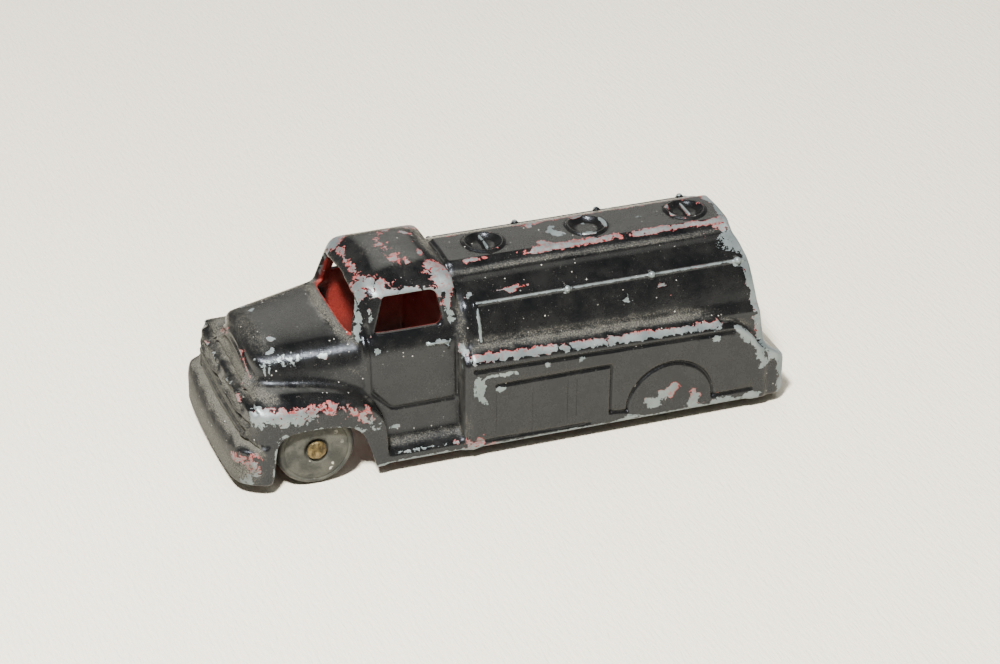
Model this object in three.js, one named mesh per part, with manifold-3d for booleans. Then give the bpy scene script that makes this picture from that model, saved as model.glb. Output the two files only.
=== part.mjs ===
// Toy tank truck, about 1:60: one hollow die-cast body, two axles and four rubber wheels.
// Millimetres. The truck faces -Y, +X is its left side, +Z is up, and the wheels stand on z = 0.

import * as THREE from 'three';
import { mergeVertices } from 'three/addons/utils/BufferGeometryUtils.js';
import Module from 'manifold-3d';

const wasm = await Module();
wasm.setup();

// Overall size
const frontEnd = -51.5;
const rearEnd = 51.5;
const halfWidth = 18.5;
const roofTop = 35.3;
const rimHeight = 2.2;
const wall = 1.3;
const thinWall = 1;

// Wheels and axles
const wheelRadius = 7;
const wheelWidth = 3.6;
const frontAxleY = -36.5;
const rearAxleY = 28.5;
const frontTrack = 17.3;
const rearTrack = 16.4;
const rodRadius = 0.8;
const headRadius = 1.75;
const headHeight = 0.85;
const runningGap = 0.09;
const recessGap = 0.3;

// Tank
const tankFront = -8.5;
const tankTop = 32.5;
const tankRear = 47.9;
const beltDrop = 1.9;
const hatchPlaces = [-0.3, 19.1, 38.05];
const hatchRadius = 3.6;
const railX = 12.9;
const railZ = 27.8;
const railFront = -6.2;
const railRear = 44.2;
const railWidth = 0.5;
const shoulderLean = 0.75;
const stanchionPlaces = [10.5, 26.4, 42.8];
const sunk = 0.6;

// Cab and bonnet
const cabFront = -30.6;
const cabRear = -9.4;
const beltHeight = 24.4;
const cabHalfWidth = 14.2;
const bonnetFront = -46.1;
const bonnetSlope = 0.12;
const bonnetTaper = 0.0135;
const bonnetRear = -26.5;

// Axle lugs inside the body
const lugInner = 10.2;
const lugOuter = 12.6;
const lugDepth = 5;
const lugFoot = 4.2;
const frontLugTop = 17;
const rearLugTop = 28;

// ---- Helpers: outlines ----

// A closed outline through corner points [a, b] or [a, b, radius], where a radius rounds the corner.
function outline(corners) {
  const shape = new THREE.Shape();
  const count = corners.length;
  corners.forEach((corner, index) => {
    const here = new THREE.Vector2(corner[0], corner[1]);
    const before = new THREE.Vector2(...corners[(index + count - 1) % count].slice(0, 2));
    const after = new THREE.Vector2(...corners[(index + 1) % count].slice(0, 2));
    const radius = corner[2] ?? 0;
    const start = towards(here, before, radius);
    const end = towards(here, after, radius);
    if (index === 0) {
      shape.moveTo(start.x, start.y);
    } else {
      shape.lineTo(start.x, start.y);
    }
    if (radius > 0) {
      shape.quadraticCurveTo(here.x, here.y, end.x, end.y);
    }
  });
  return shape;
}

// The point at a distance from one point towards another, at most 0.45 of the way.
function towards(from, to, distance) {
  const share = Math.min(distance / from.distanceTo(to), 0.45);
  return from.clone().lerp(to, share);
}

// A closed outline that is the same on both sides of a = 0, from its half in falling order.
function mirrored(half) {
  const other = half.filter((corner) => corner[0] > 0).map(([a, ...rest]) => [-a, ...rest]);
  return outline([...other, ...half.slice().reverse()]);
}

// ---- Helpers: solids ----

function extrude(shape, depth, options = {}) {
  const settings = { depth, bevelEnabled: false, curveSegments: 3, steps: 1, ...options };
  return new THREE.ExtrudeGeometry(shape, settings);
}

// A side outline in (y, z), extruded across the truck between two x values.
function extrudeAcross(shape, x0, x1) {
  const geometry = extrude(shape, x1 - x0);
  const turn = new THREE.Matrix4().makeBasis(
    new THREE.Vector3(0, 1, 0),
    new THREE.Vector3(0, 0, 1),
    new THREE.Vector3(1, 0, 0),
  );
  return geometry.applyMatrix4(turn).translate(x0, 0, 0);
}

// A cross-section in (x, z), extruded along the truck between two y values.
function extrudeAlong(shape, y0, y1, options = {}) {
  return extrude(shape, y1 - y0, options).rotateX(Math.PI / 2).translate(0, y1, 0);
}

// A plan outline in (x, y), extruded upwards between two z values.
function extrudeUp(shape, z0, z1, options = {}) {
  return extrude(shape, z1 - z0, options).translate(0, 0, z0);
}

function box(x0, x1, y0, y1, z0, z1) {
  const geometry = new THREE.BoxGeometry(x1 - x0, y1 - y0, z1 - z0);
  return geometry.translate((x0 + x1) / 2, (y0 + y1) / 2, (z0 + z1) / 2);
}

// A box on one side of the truck, between two distances from the middle.
function sideBox(sign, inner, outer, y0, y1, z0, z1) {
  const [x0, x1] = sign > 0 ? [inner, outer] : [-outer, -inner];
  return box(x0, x1, y0, y1, z0, z1);
}

// A cylinder lying along X.
function barAcross(radius, x0, x1, y, z, segments = 16) {
  const geometry = new THREE.CylinderGeometry(radius, radius, x1 - x0, segments);
  return geometry.rotateZ(Math.PI / 2).translate((x0 + x1) / 2, y, z);
}

// Moves every vertex of a geometry to the place that the rule gives.
function reshape(geometry, rule) {
  const places = geometry.getAttribute('position');
  for (let index = 0; index < places.count; index += 1) {
    const place = rule(places.getX(index), places.getY(index), places.getZ(index));
    places.setXYZ(index, ...place);
  }
  return geometry;
}

function toSolid(geometry) {
  const bare = geometry.clone();
  bare.deleteAttribute('normal');
  bare.deleteAttribute('uv');
  const merged = mergeVertices(bare, 1e-4);
  return new wasm.Manifold(new wasm.Mesh({
    numProp: 3,
    vertProperties: new Float32Array(merged.getAttribute('position').array),
    triVerts: new Uint32Array(merged.getIndex().array),
  }));
}

function toGeometry(body) {
  const mesh = body.getMesh();
  const geometry = new THREE.BufferGeometry();
  geometry.setAttribute('position', new THREE.BufferAttribute(mesh.vertProperties, 3));
  geometry.setIndex(new THREE.BufferAttribute(mesh.triVerts, 1));
  return geometry;
}

function joined(geometries) {
  return geometries.map(toSolid).reduce((sum, part) => sum.add(part));
}

function common(geometries) {
  return geometries.map(toSolid).reduce((sum, part) => sum.intersect(part));
}

// ---- Body casting: outer shape ----

// Front bumper with the sloping shelf behind it.
function frontBumper() {
  const side = extrudeAcross(outline([
    [frontEnd, rimHeight, 0.5],
    [frontEnd, 7.1, 0.5],
    [-49.5, 9.6, 1.2],
    [-45, 9.6],
    [-45, rimHeight],
  ]), -halfWidth, halfWidth);
  const plan = extrudeUp(mirrored([
    [0, frontEnd],
    [8, frontEnd + 0.15, 4],
    [15.7, frontEnd + 0.8, 2.6],
    [halfWidth, frontEnd + 4.6, 2.6],
    [halfWidth, -44],
  ]), 1, 10);
  return common([side, plan]);
}

// Front wings, and the stepped grille panel between them.
function frontWings() {
  const side = extrudeAcross(outline([
    [-49.2, rimHeight],
    [-49.2, 9.8],
    [-49.3, 10.6, 0.3],
    [-48.9, 11.2],
    [-49.0, 11.8, 0.4],
    [-48.5, 13.0],
    [-48.6, 13.5, 0.5],
    [-48.0, 16.0, 0.5],
    [-47.3, 16.5],
    [-45.4, 18.0, 2.4],
    [-36, 17.7, 8],
    [-28.6, 15.9, 4],
    [-24.2, 11.6, 3],
    [-23.6, 5, 2],
    [-24.4, 2, 0.8],
  ]), -halfWidth, halfWidth);
  const section = extrudeAlong(mirrored([
    [0, 18.4],
    [12.8, 17.9, 2],
    [16.4, 16.8, 2.4],
    [halfWidth, 14.9, 2],
    [halfWidth, 1],
  ]), frontEnd, -23);
  const plan = extrudeUp(mirrored([
    [0, -49.5],
    [12.6, -48.8, 3],
    [16.8, -46.8, 3],
    [halfWidth, -43, 3],
    [halfWidth, -23],
  ]), 1, 20);
  return common([side, section, plan]);
}

// The bonnet's place after its slope down and its narrowing towards the front.
function bonnetRule(x, y, z) {
  const ahead = bonnetRear - y;
  return [x * (1 - bonnetTaper * ahead), y, z - bonnetSlope * ahead];
}

function bonnetBlock(inset) {
  const section = extrudeAlong(mirrored([
    [0, 25.7 - inset],
    [6, 25.2 - inset, 5],
    [12.9 - inset, 23.8 - inset, 2.2],
    [14.3 - inset, 20.8, 3],
    [14.9 - inset, 15],
    [14.9 - inset, 8],
  ]), -48, bonnetRear, { steps: 3 });
  const nose = extrudeAcross(outline([
    [bonnetFront + inset, 8],
    [bonnetFront + inset, 20.4, 0.5],
    [-45.6 + inset, 22.0 - inset, 1.6],
    [-43.2 + inset, 23.9 - inset, 3],
    [-38, 27],
    [-25, 28],
    [-25, 8],
  ]), -15, 15);
  const plan = extrudeUp(mirrored([
    [0, bonnetFront + inset],
    [6.5, -45.9 + inset, 4],
    [11 - inset, -44 + inset, 3],
    [12.7 - inset, -40, 4],
    [15 - inset, bonnetRear],
  ]), 7, 29);
  return common([reshape(section, bonnetRule), nose, plan]);
}

// Doors, sills and running boards.
function cabLower() {
  return toSolid(extrudeAlong(mirrored([
    [0, beltHeight + 0.4],
    [13.3, beltHeight, 1],
    [14.4, 22.2, 1.6],
    [14.9, 17, 6],
    [15.1, 8.5, 3],
    [15.6, 5.2, 2.5],
    [halfWidth - 0.2, 4, 0.6],
    [halfWidth - 0.2, rimHeight],
  ]), bonnetRear - 0.5, tankFront));
}

// Windscreen pillars and roof: a plan outline that leans back and narrows with height.
function cabUpper(inset) {
  const floor = 20;
  const plan = mirrored([
    [0, cabFront + inset],
    [7.5, -30.0 + inset, 5],
    [11.6 - inset, -28.0 + inset, 3],
    [13.9 - inset, -24.2, 4],
    [cabHalfWidth - inset, cabRear - inset],
  ]);
  const height = roofTop - floor;
  const tower = reshape(extrudeUp(plan, floor, roofTop + 1, { steps: 4 }), (x, y, z) => {
    const rise = (z - beltHeight) / height;
    const forward = (cabRear - y) / (cabRear - cabFront);
    return [x * (1 - 0.2 * rise), y + 6 * rise * forward, z];
  });
  const side = extrudeAcross(outline([
    [-35, floor],
    [-29.5, 28],
    [-25.2 + inset, 33.0 - inset, 1.6],
    [-22.4 + inset, 34.5 - inset, 2.5],
    [-17.5, roofTop - inset, 4],
    [-13.6 - inset, roofTop - inset, 3],
    [cabRear + 0.4 - inset, tankTop, 1],
    [cabRear + 0.4 - inset, floor],
  ]), -16, 16);
  const front = extrudeAlong(mirrored([
    [0, roofTop - inset],
    [5.5, roofTop - 0.6 - inset, 4],
    [9.4 - inset, 33.1 - inset, 2.4],
    [11.7 - inset, 31.4 - inset, 1.2],
    [12.7 - inset, 28],
    [cabHalfWidth - inset, 22],
    [cabHalfWidth - inset, floor],
  ]), -36, -8);
  return common([tower, side, front]);
}

// The tank's cross-section: walkway, shoulder, rail ridge, side and the skirt's belt edge.
function tankSection(inset) {
  return mirrored([
    [0, tankTop - inset],
    [4.8 - inset, tankTop - 0.3 - inset, 0.5],
    [6.1 - inset, 30.4 - inset, 0.8],
    [9.6 - inset, 29.6 - inset, 2.2],
    [railX - inset, railZ - inset, 1],
    [14.5 - inset, 24.6, 3],
    [15.6 - inset, 21.4 - inset, 0.8],
    [17.2 - inset, 20.6 - inset, 0.8],
    [halfWidth - inset, 19.3 - inset, 0.8],
    [halfWidth - inset, 0],
  ]);
}

// The belt edge falls slightly towards the rear.
function tankRule(x, y, z) {
  const along = (y - tankFront) / (tankRear - tankFront);
  const share = THREE.MathUtils.clamp((26 - z) / 5, 0, 1) * THREE.MathUtils.clamp(z / 15, 0, 1);
  return [x, y, z - beltDrop * along * share];
}

function tankBlock(inset, front) {
  const section = reshape(
    extrudeAlong(tankSection(inset), front, tankRear + 2, { steps: 4 }),
    tankRule,
  );
  const side = extrudeAcross(outline([
    [front - 0.5, inset > 0 ? -1 : rimHeight],
    [front - 0.5, tankTop + 1],
    [44.3 - inset, tankTop + 1],
    [44.5 - inset, 31.5 - inset, 1],
    [tankRear - 0.4 - inset, 12],
    [tankRear - inset, inset > 0 ? -1 : rimHeight],
  ]), -20, 20);
  return common([section, side]);
}

// The tank's hollow, drawn in behind the rear wheels so that the skirt's corner stays backed.
function tankCavity() {
  const wide = halfWidth - thinWall;
  const narrow = 15.1;
  const plan = toSolid(extrudeUp(mirrored([
    [wide, tankFront],
    [wide, 36.4],
    [narrow, 38.4],
    [narrow, rearEnd],
  ]), -2, roofTop));
  return tankBlock(thinWall + 0.2, tankFront + wall).intersect(plan);
}

// What the skirt's large round rear corner takes away, outboard of the tank's end.
function skirtCorner(sign) {
  const cut = new THREE.Shape();
  cut.moveTo(38, 19.6);
  cut.absellipse(38, 7, 8.9, 11.4, Math.PI / 2, 0, true);
  cut.lineTo(47.2, 0);
  cut.lineTo(52, 0);
  cut.lineTo(52, 30);
  cut.lineTo(38, 30);
  const inner = 16.4;
  return extrudeAcross(cut, sign > 0 ? inner : -20, sign > 0 ? 20 : -inner);
}

// Rear bumper, below the leaning end of the tank.
function rearBumper() {
  const side = extrudeAcross(outline([
    [44, 1.9],
    [rearEnd, 1.9, 0.5],
    [rearEnd, 9.2, 1.2],
    [47, 12.4],
    [44, 12.4],
  ]), -halfWidth, halfWidth);
  const plan = extrudeUp(mirrored([
    [18.2, 43],
    [18, rearEnd - 1.6, 1],
    [16.6, rearEnd, 1],
    [0, rearEnd],
  ]), 1, 14);
  return common([side, plan]);
}

// ---- Body casting: hollow inside ----

function wingCavity() {
  const side = extrudeAcross(outline([
    [-47.7, -1],
    [-47.7, 9.8, 1],
    [-46.2, 15.1, 1],
    [-36, 15.6, 4],
    [-30, 14.4, 3],
    [-26, 11, 2],
    [-25, 6],
    [-25, -1],
  ]), -17.6, 17.6);
  const section = extrudeAlong(mirrored([
    [0, 17.5],
    [15.4, 15.6, 1.5],
    [17.6, 14.2, 0.8],
    [17.6, -1],
  ]), -50, -24.8);
  const plan = extrudeUp(mirrored([
    [0, -47.9],
    [12.2, -47.4, 3],
    [15.8, -45.6, 3],
    [17.6, -42, 3],
    [17.6, -24.8],
  ]), -1, 18);
  return common([side, section, plan]);
}

function doorCavity() {
  return toSolid(extrudeAlong(mirrored([
    [0, 23],
    [12.4, 22.8, 1],
    [13.4, 17, 4],
    [13.7, 7, 3],
    [16.9, 2.6, 1],
    [16.9, -1],
  ]), -28, cabRear - wall));
}

// The opening low in the bulkhead that joins the cab's hollow and the tank's.
function bulkheadPassage() {
  return box(-12.5, 12.5, cabRear - 2, tankFront + 2, -1, 9);
}

function hollow() {
  return [
    wingCavity(),
    bonnetBlock(wall),
    doorCavity(),
    cabUpper(wall),
    tankCavity(),
    toSolid(bulkheadPassage()),
  ].reduce((sum, part) => sum.add(part));
}

// Lugs cast with the roof of the body, one pair for each axle, with slots that open downwards.
function axleLugs(axleY, top) {
  const y0 = axleY - lugDepth / 2;
  const y1 = axleY + lugDepth / 2;
  return [1, -1].map((sign) => sideBox(sign, lugInner, lugOuter, y0, y1, lugFoot, top));
}

// The round seat of an axle, and the narrower slot below it that the rod was pressed through.
function axleSlot(axleY) {
  const reach = lugOuter + 1;
  const neck = rodRadius * 0.75;
  const seat = barAcross(rodRadius + runningGap, -reach, reach, axleY, wheelRadius);
  return [seat, box(-reach, reach, axleY - neck, axleY + neck, 0, wheelRadius - rodRadius)];
}

// ---- Body casting: openings ----

function windscreen() {
  return extrudeAlong(mirrored([
    [0, 31.3],
    [8.6, 30.7, 1.2],
    [10.8, 23.9, 0.5],
    [6, 25.1, 4],
    [0, 25.6],
  ]), cabFront - 1.5, -24);
}

function sideWindows() {
  return extrudeAcross(outline([
    [-24.6, 25.1, 0.4],
    [-12.2, 25.1, 1.6],
    [-13, 31.2, 1.4],
    [-22.6, 31.2, 0.4],
  ]), -20, 20);
}

// Front wheel arches, cut through both wings.
function frontArches() {
  return extrudeAcross(outline([
    [-45, 0],
    [-44.2, 4, 1],
    [-43.4, 11.5, 4],
    [-34, 11.6, 4],
    [-28.6, 10.2, 4],
    [-26.4, 3.4, 1],
    [-25.6, 0],
  ]), -20, 20);
}

// ---- Body casting: small shapes ----

// The raised ring of a filling hatch, with a sloping inner side.
function hatch(y) {
  const base = tankTop - sunk;
  const top = tankTop + 0.25;
  const inner = hatchRadius - 0.9;
  const ring = new THREE.LatheGeometry([
    new THREE.Vector2(inner, base),
    new THREE.Vector2(hatchRadius, base),
    new THREE.Vector2(hatchRadius, top - 0.15),
    new THREE.Vector2(hatchRadius - 0.4, top),
    new THREE.Vector2(inner, base + 0.3),
    new THREE.Vector2(inner, base),
  ], 20);
  return ring.rotateX(Math.PI / 2).translate(0, y, 0);
}

function hatchHandle(y) {
  const reach = hatchRadius - 1.3;
  return box(-reach, reach, y - 0.35, y + 0.35, tankTop - sunk, tankTop + 0.35);
}

// The handrail along the tank's shoulder, square to the shoulder's slope.
function handrail(sign) {
  const bar = box(-railWidth / 2, railWidth / 2, railFront, railRear, -sunk, railWidth / 2);
  return bar.rotateY(sign * shoulderLean).translate(sign * (railX - 0.2), 0, railZ - 0.15);
}

// The handrail's front end, which runs down the tank's side.
function railDrop(sign) {
  const lean = 0.32;
  const length = 6.8;
  const bar = box(-sunk, 0.3, -railWidth / 2, railWidth / 2, -length / 2, length / 2);
  return bar.rotateY(-sign * lean).translate(sign * 14.05, railFront, 24.9);
}

function stanchion(sign, y) {
  const post = new THREE.CylinderGeometry(0.45, 0.6, 1.2, 6);
  return post.rotateX(Math.PI / 2).rotateY(sign * shoulderLean).translate(sign * railX, y, railZ);
}

function doorHandle(sign) {
  return sideBox(sign, 14, 15, -15.6, -11.6, 22.1, 22.7);
}

// A raised long oval each side of the grille's centre.
function grillePod(sign) {
  const oval = new THREE.Shape();
  oval.absellipse(sign * 7.2, 14.8, 5.4, 1.35, 0, Math.PI * 2);
  return extrudeAlong(oval, -48.9, -46.5);
}

function bodyCasting() {
  const outer = [
    frontBumper(),
    frontWings(),
    bonnetBlock(0),
    cabLower(),
    cabUpper(0),
    tankBlock(0, tankFront),
    rearBumper(),
  ].reduce((sum, part) => sum.add(part));
  const corners = joined([skirtCorner(1), skirtCorner(-1)]);
  const details = joined([
    ...hatchPlaces.map(hatch),
    hatchHandle(hatchPlaces[0]),
    hatchHandle(hatchPlaces[2]),
    ...[1, -1].flatMap((sign) => [
      handrail(sign),
      railDrop(sign),
      ...stanchionPlaces.map((y) => stanchion(sign, y)),
      doorHandle(sign),
      grillePod(sign),
    ]),
  ]);
  const openings = joined([windscreen(), sideWindows(), frontArches()]);
  const lugs = joined([
    ...axleLugs(frontAxleY, frontLugTop),
    ...axleLugs(rearAxleY, rearLugTop),
  ]);
  const slots = joined([...axleSlot(frontAxleY), ...axleSlot(rearAxleY)]);
  return outer.subtract(corners).subtract(hollow()).subtract(openings)
    .add(details).add(lugs).subtract(slots);
}

// ---- Wheels and axles ----

// A wheel on the +X side: its axis is X, and its outer face is at x = 0.
function wheelGeometry() {
  const bore = rodRadius + runningGap;
  const recess = headRadius + recessGap;
  const profile = [
    [bore, -wheelWidth],
    [2.6, -wheelWidth],
    [wheelRadius - 0.7, -wheelWidth + 0.35],
    [wheelRadius - 0.15, -wheelWidth + 0.9],
    [wheelRadius, -wheelWidth / 2],
    [wheelRadius - 0.15, -0.95],
    [wheelRadius - 0.8, -0.3],
    [wheelRadius - 2.2, -0.05],
    [recess + 0.5, 0],
    [recess, -0.2],
    [recess, -0.75],
    [bore, -0.75],
    [bore, -wheelWidth],
  ].map(([radius, along]) => new THREE.Vector2(radius, along));
  return new THREE.LatheGeometry(profile, 28).rotateZ(-Math.PI / 2);
}

// A rod with a domed head on each end, along X.
function axleGeometry(track) {
  const tip = track + 0.55;
  const under = tip - headHeight;
  const halfProfile = [
    [0, tip],
    [0.8, tip - 0.08],
    [1.35, tip - 0.32],
    [headRadius, tip - 0.68],
    [headRadius - 0.05, under],
    [rodRadius, under],
  ];
  const other = halfProfile.map(([radius, along]) => [radius, -along]);
  const profile = [...other, ...halfProfile.slice().reverse()]
    .map(([radius, along]) => new THREE.Vector2(radius, along));
  return new THREE.LatheGeometry(profile, 16).rotateZ(-Math.PI / 2);
}

// ---- Assembly ----

const paint = { color: 0x24262a, roughness: 0.35, metalness: 0.1 };
const rubber = { color: 0x5d5d52, roughness: 0.75, metalness: 0 };
const brass = { color: 0x8f7a4a, roughness: 0.4, metalness: 0.9 };

const group = new THREE.Group();

function addPiece(name, geometry, finish, x = 0, y = 0, z = 0) {
  const mesh = new THREE.Mesh(geometry, new THREE.MeshStandardMaterial(finish));
  mesh.name = name;
  mesh.position.set(x, y, z);
  group.add(mesh);
  return mesh;
}

addPiece('body_casting', toGeometry(bodyCasting()), paint);

const axles = [
  ['front', frontAxleY, frontTrack],
  ['rear', rearAxleY, rearTrack],
];

for (const [end, axleY, track] of axles) {
  addPiece(`${end}_axle`, axleGeometry(track), brass, 0, axleY, wheelRadius);
  addPiece(`${end}_left_wheel`, wheelGeometry(), rubber, track, axleY, wheelRadius);
  const right = addPiece(`${end}_right_wheel`, wheelGeometry(), rubber, -track, axleY, wheelRadius);
  right.rotation.z = Math.PI;
}

export default group;
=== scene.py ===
"""A worn die-cast toy tank truck: black enamel over red primer, chipped to bare zinc, on rubber wheels.

The casting is built as a distance field from the same outlines as the CAD model, in millimetres,
then meshed and scaled to metres. The wheels and axles are turned profiles.
"""
import math

import bmesh
import bpy
import numpy as np
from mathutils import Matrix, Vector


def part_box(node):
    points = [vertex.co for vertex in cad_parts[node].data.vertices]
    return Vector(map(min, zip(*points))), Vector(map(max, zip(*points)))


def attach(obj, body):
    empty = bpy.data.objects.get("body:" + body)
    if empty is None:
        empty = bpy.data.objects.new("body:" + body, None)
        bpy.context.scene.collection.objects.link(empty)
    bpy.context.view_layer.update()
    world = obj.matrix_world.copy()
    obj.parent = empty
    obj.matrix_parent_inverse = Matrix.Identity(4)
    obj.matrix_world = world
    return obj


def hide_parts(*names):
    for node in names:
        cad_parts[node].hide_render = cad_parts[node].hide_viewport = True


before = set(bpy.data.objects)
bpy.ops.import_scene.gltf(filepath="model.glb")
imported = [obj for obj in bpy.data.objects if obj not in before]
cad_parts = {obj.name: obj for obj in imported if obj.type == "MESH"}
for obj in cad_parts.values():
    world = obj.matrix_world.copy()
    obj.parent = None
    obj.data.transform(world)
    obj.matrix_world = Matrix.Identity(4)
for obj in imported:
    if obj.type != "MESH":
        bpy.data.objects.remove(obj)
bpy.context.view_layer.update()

import openvdb
from mathutils import Matrix, Vector

MM = 0.001

# Casting, in millimetres. Its ends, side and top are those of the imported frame.
casting_low, casting_high = (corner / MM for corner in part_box("body_casting"))
FRONT_END = casting_low.y
REAR_END = casting_high.y
HALF_WIDTH = casting_high.x
ROOF_TOP = casting_high.z
RIM_HEIGHT = 2.2
WALL = 1.3
THIN_WALL = 1.0

# Tank, in millimetres
TANK_FRONT = -8.5
TANK_TOP = 32.5
TANK_REAR = 47.9
BELT_DROP = 1.9
RAIL_X = 12.9
RAIL_Z = 27.8
RAIL_FRONT = -6.2
RAIL_REAR = 44.2
KNOB_PLACES = (10.5, 26.4, 42.8)
BARRED_HATCHES = (-0.3, 38.05)
PLAIN_HATCH = 19.1

# Cab and bonnet, in millimetres
CAB_FRONT = -30.6
CAB_REAR = -9.4
BELT_HEIGHT = 24.4
CAB_HALF_WIDTH = 14.2
BONNET_FRONT = -46.1
BONNET_REAR = -26.5

# Wheels and axles, in millimetres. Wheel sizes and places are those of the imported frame.
wheel_low, wheel_high = (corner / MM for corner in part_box("front_left_wheel"))
WHEEL_RADIUS = (wheel_high.z - wheel_low.z) / 2
WHEEL_WIDTH = wheel_high.x - wheel_low.x


def axle_place(end):
    """The y of an axle's middle and the x of its wheels' outer faces."""
    low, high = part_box(f"{end}_axle")
    return (low + high).y / 2 / MM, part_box(f"{end}_left_wheel")[1].x / MM


AXLE_PLACES = {end: axle_place(end) for end in ("front", "rear")}
ROD_RADIUS = 0.8
HEAD_RADIUS = 1.75
HEAD_HEIGHT = 0.85
HEAD_REACH = 0.55
DOME_HEIGHT = 0.62
RECESS_DEPTH = 0.75
RUNNING_GAP = 0.09

# Resolution of the casting's field and mesh, in millimetres where it is a length
STEP = 0.24
FLATNESS = 0.002
SKIN = 0.3
THINNED_FACES = 85_500
EDGE_LIMITS = (4.0, 2.8, 2.0, 1.4, 1.0, 0.7)
UNWORN_LIMIT = 2.0
WORN = 0.45

FLOOR_HALF = 1.6


# ---- Camera, light and floor ----

def added(name, data):
    """A new object in the scene."""
    made = bpy.data.objects.new(name, data)
    bpy.context.scene.collection.objects.link(made)
    return made


def direction(azimuth, elevation):
    """The unit vector towards a viewer or a light, from angles in degrees. Azimuth 0 is in front."""
    a = math.radians(azimuth)
    e = math.radians(elevation)
    return Vector((math.sin(a) * math.cos(e), -math.cos(a) * math.cos(e), math.sin(e)))


def aim_camera():
    """The camera, from its direction, roll and distance about the point that it looks at."""
    azimuth = 69.375
    elevation = 29.583
    roll = math.radians(0.809)
    distance = 0.5423
    target = Vector((-0.0037, 0.0045, 0.0114))
    back = direction(azimuth, elevation)
    level = direction(azimuth + 90, 0)
    upright = back.cross(level)
    right = level * math.cos(roll) + upright * math.sin(roll)
    up = upright * math.cos(roll) - level * math.sin(roll)
    data = bpy.data.cameras.new("view")
    data.lens = 108.5
    data.sensor_width = 36
    data.clip_start = 0.01
    camera = added("view", data)
    turn = Matrix((right, up, back)).transposed().to_4x4()
    camera.matrix_world = Matrix.Translation(target + back * distance) @ turn
    bpy.context.scene.camera = camera


def soft_light(name, azimuth, elevation, distance, size, power, colour):
    """A square area light that faces the truck from a direction."""
    towards = direction(azimuth, elevation)
    data = bpy.data.lights.new(name, "AREA")
    data.size = size
    data.energy = power
    data.color = colour
    light = added(name, data)
    light.location = towards * distance + Vector((0, 0, 0.015))
    light.rotation_euler = towards.to_track_quat("Z", "Y").to_euler()
    return light


def studio():
    """One hard key light, two broad fill lights and a dim room."""
    soft_light("key_light", 52, 57, 0.75, 0.08, 27.0, (1.0, 0.98, 0.93))
    fill = soft_light("fill_light", 100, 62, 1.0, 0.7, 2.6, (1.0, 0.98, 0.94))
    back = soft_light("back_light", 250, 65, 0.9, 0.5, 4.0, (1.0, 0.985, 0.96))
    fill.visible_glossy = False
    back.visible_glossy = False
    room()


def room():
    """Surroundings that are pale at the horizon and dark overhead."""
    world = bpy.data.worlds.new("room")
    bpy.context.scene.world = world
    world.use_nodes = True
    nodes = world.node_tree.nodes
    nodes.clear()
    kinds = ("TexCoord", "SeparateXYZ", "ValToRGB", "Background", "OutputWorld")
    place, parts, ramp, ground, output = (nodes.new("ShaderNode" + kind) for kind in kinds)
    stops = ramp.color_ramp.elements
    stops[0].color = (0.42, 0.41, 0.385, 1)
    stops[1].color = (0.02, 0.02, 0.021, 1)
    stops[1].position = 0.75
    stops.new(0.5).color = (0.27, 0.265, 0.25, 1)
    ground.inputs["Strength"].default_value = 1.05
    link = world.node_tree.links.new
    link(place.outputs["Generated"], parts.inputs[0])
    link(parts.outputs["Z"], ramp.inputs[0])
    link(ramp.outputs["Color"], ground.inputs["Color"])
    link(ground.outputs[0], output.inputs[0])


def floor():
    """A large sheet of pale paper under the wheels."""
    mesh = bpy.data.meshes.new("paper")
    corners = [(a * FLOOR_HALF, b * FLOOR_HALF, 0) for a, b in ((-1, -1), (1, -1), (1, 1), (-1, 1))]
    mesh.from_pydata(corners, [], [(0, 1, 2, 3)])
    sheet = added("paper", mesh)
    mesh.materials.append(paper())


# ---- Outlines ----

def outline(corners, closed=True, arc_points=5):
    """Points of an outline through corners (a, b) or (a, b, radius), where a radius rounds it."""
    count = len(corners)
    points = []
    for index, (a, b, *radius) in enumerate(corners):
        here = np.array((a, b), float)
        end = index in (0, count - 1) and not closed
        if not radius or end:
            points.append(here)
            continue
        before = np.array(corners[index - 1][:2], float)
        after = np.array(corners[(index + 1) % count][:2], float)
        start = step_towards(here, before, radius[0])
        stop = step_towards(here, after, radius[0])
        for share in np.linspace(0, 1, arc_points + 1):
            points.append((1 - share) ** 2 * start + 2 * share * (1 - share) * here + share ** 2 * stop)
    return np.array(points)


def step_towards(start, stop, distance):
    """The point at a distance from one point towards another, at most 0.45 of the way."""
    return start + (stop - start) * min(distance / np.linalg.norm(stop - start), 0.45)


def mirrored(half):
    """Corners of an outline that is the same on both sides of a = 0, from its half with a >= 0."""
    return [(-c[0], *c[1:]) for c in half if c[0] > 0] + half[::-1]


def arc(centre, radii, start, stop, count=16):
    """Points on part of an ellipse, between two angles in degrees."""
    angles = np.radians(np.linspace(start, stop, count))
    return np.stack((centre[0] + radii[0] * np.cos(angles), centre[1] + radii[1] * np.sin(angles)), 1)


def path_distance(points, a, b, closed=False):
    """Distance from places (a, b) to a path, negative inside a closed one."""
    a = a.astype(np.float32)
    b = b.astype(np.float32)
    best = np.full(np.broadcast_shapes(a.shape, b.shape), 1e9, np.float32)
    inside = np.zeros(best.shape, bool)
    ends = np.roll(points, -1, 0) if closed else points[1:]
    for (a0, b0), (a1, b1) in zip(points, ends):
        da = a1 - a0
        db = b1 - b0
        length = da * da + db * db
        if length < 1e-12:
            continue
        share = np.clip(((a - a0) * da + (b - b0) * db) / length, 0, 1)
        np.minimum(best, (a - a0 - share * da) ** 2 + (b - b0 - share * db) ** 2, out=best)
        if closed and b0 != b1:
            inside ^= ((b0 > b) != (b1 > b)) & (a < a0 + (b - b0) * da / db)
    distance = np.sqrt(best)
    return np.where(inside, -distance, distance)


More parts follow.
